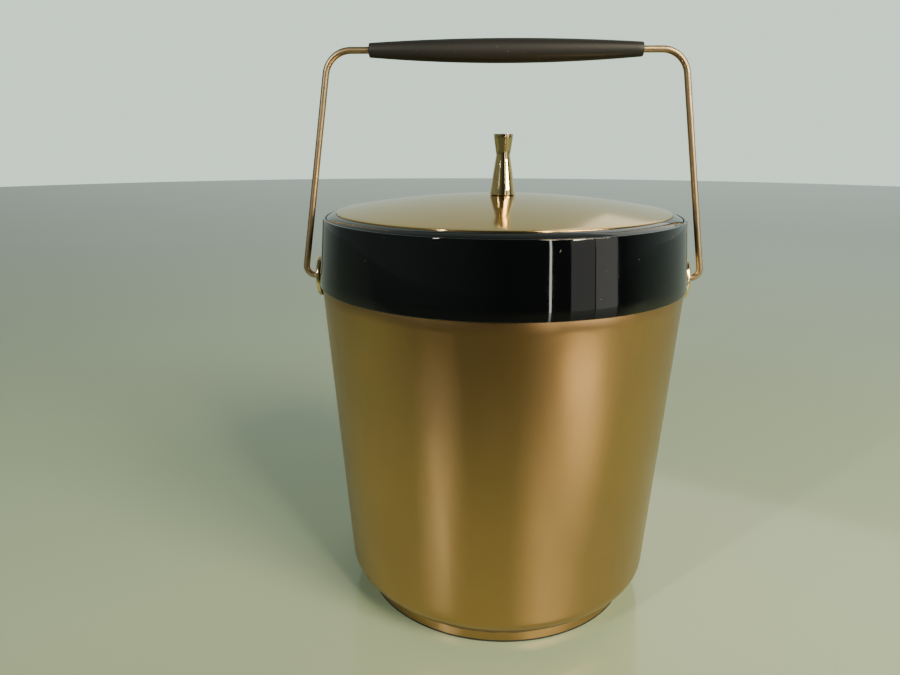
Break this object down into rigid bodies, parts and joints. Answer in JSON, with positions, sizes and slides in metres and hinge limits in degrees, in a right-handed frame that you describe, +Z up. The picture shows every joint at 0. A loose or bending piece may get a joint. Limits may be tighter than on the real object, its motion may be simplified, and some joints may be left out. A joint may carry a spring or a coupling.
{
  "type": "ice bucket",
  "caption": "Insulated table ice bucket with a tapered metal shell, a moulded collar, a lift-off lid with a turned knob, and a swinging wire bail with a sleeve grip.",
  "frame": {"origin": "centre of the foot, on the surface that the bucket stands on", "axes": "+Z up, X along the bail's pivot axis, so the grip lies along X"},
  "size_m": [0.227, 0.204, 0.3112],
  "materials": {
    "gold_anodised": "gold anodised, satin",
    "gold_anodised_lid": "gold anodised, semi-gloss",
    "black_gloss": "gloss moulded black",
    "black_satin": "satin black",
    "liner_white": "gloss moulded off-white",
    "foam": "expanded foam",
    "brass_polished": "polished",
    "brass_aged": "aged wire",
    "steel_plated": "plated",
    "rubber_black": "matt"
  },
  "bodies": {
    "bucket": {"outer_shell": "gold_anodised", "collar": "black_gloss", "inner_liner": "liner_white", "insulation_jacket": "foam", "insulation_disc": "foam", "foot_pan": "gold_anodised", "base_gasket": "rubber_black", "foot_ring": "rubber_black", "base_washer": "steel_plated", "base_screw": "steel_plated", "pivot_bush_left": "black_gloss", "pivot_bush_right": "black_gloss", "pivot_cap_left": "brass_polished", "pivot_cap_right": "brass_polished", "pivot_eyelet_left": "brass_polished", "pivot_eyelet_right": "brass_polished"},
    "bail": {"bail_wire": "brass_aged", "friction_washer_left": "steel_plated", "friction_washer_right": "steel_plated", "push_nut_left": "steel_plated", "push_nut_right": "steel_plated"},
    "grip": {"bail_grip": "black_satin"},
    "lid": {"lid_ring": "black_gloss", "lid_disc": "gold_anodised_lid", "lid_liner": "liner_white", "lid_insulation": "foam", "knob": "brass_polished", "knob_gasket": "rubber_black", "knob_washer": "steel_plated", "knob_screw": "steel_plated"}
  },
  "joints": [
    {"name": "bail_swing", "type": "hinge", "parent": "bucket", "child": "bail", "pos_m": [0, 0, 0.1842], "axis": [1, 0, 0], "range_deg": [-120, 120]},
    {"name": "grip_turn", "type": "hinge", "parent": "bail", "child": "grip", "pos_m": [0, 0, 0.3054], "axis": [1, 0, 0], "continuous": true},
    {"name": "lid_lift", "type": "slide", "parent": "bucket", "child": "lid", "axis": [0, 0, 1], "range_m": [0, 0.034]}
  ]
}
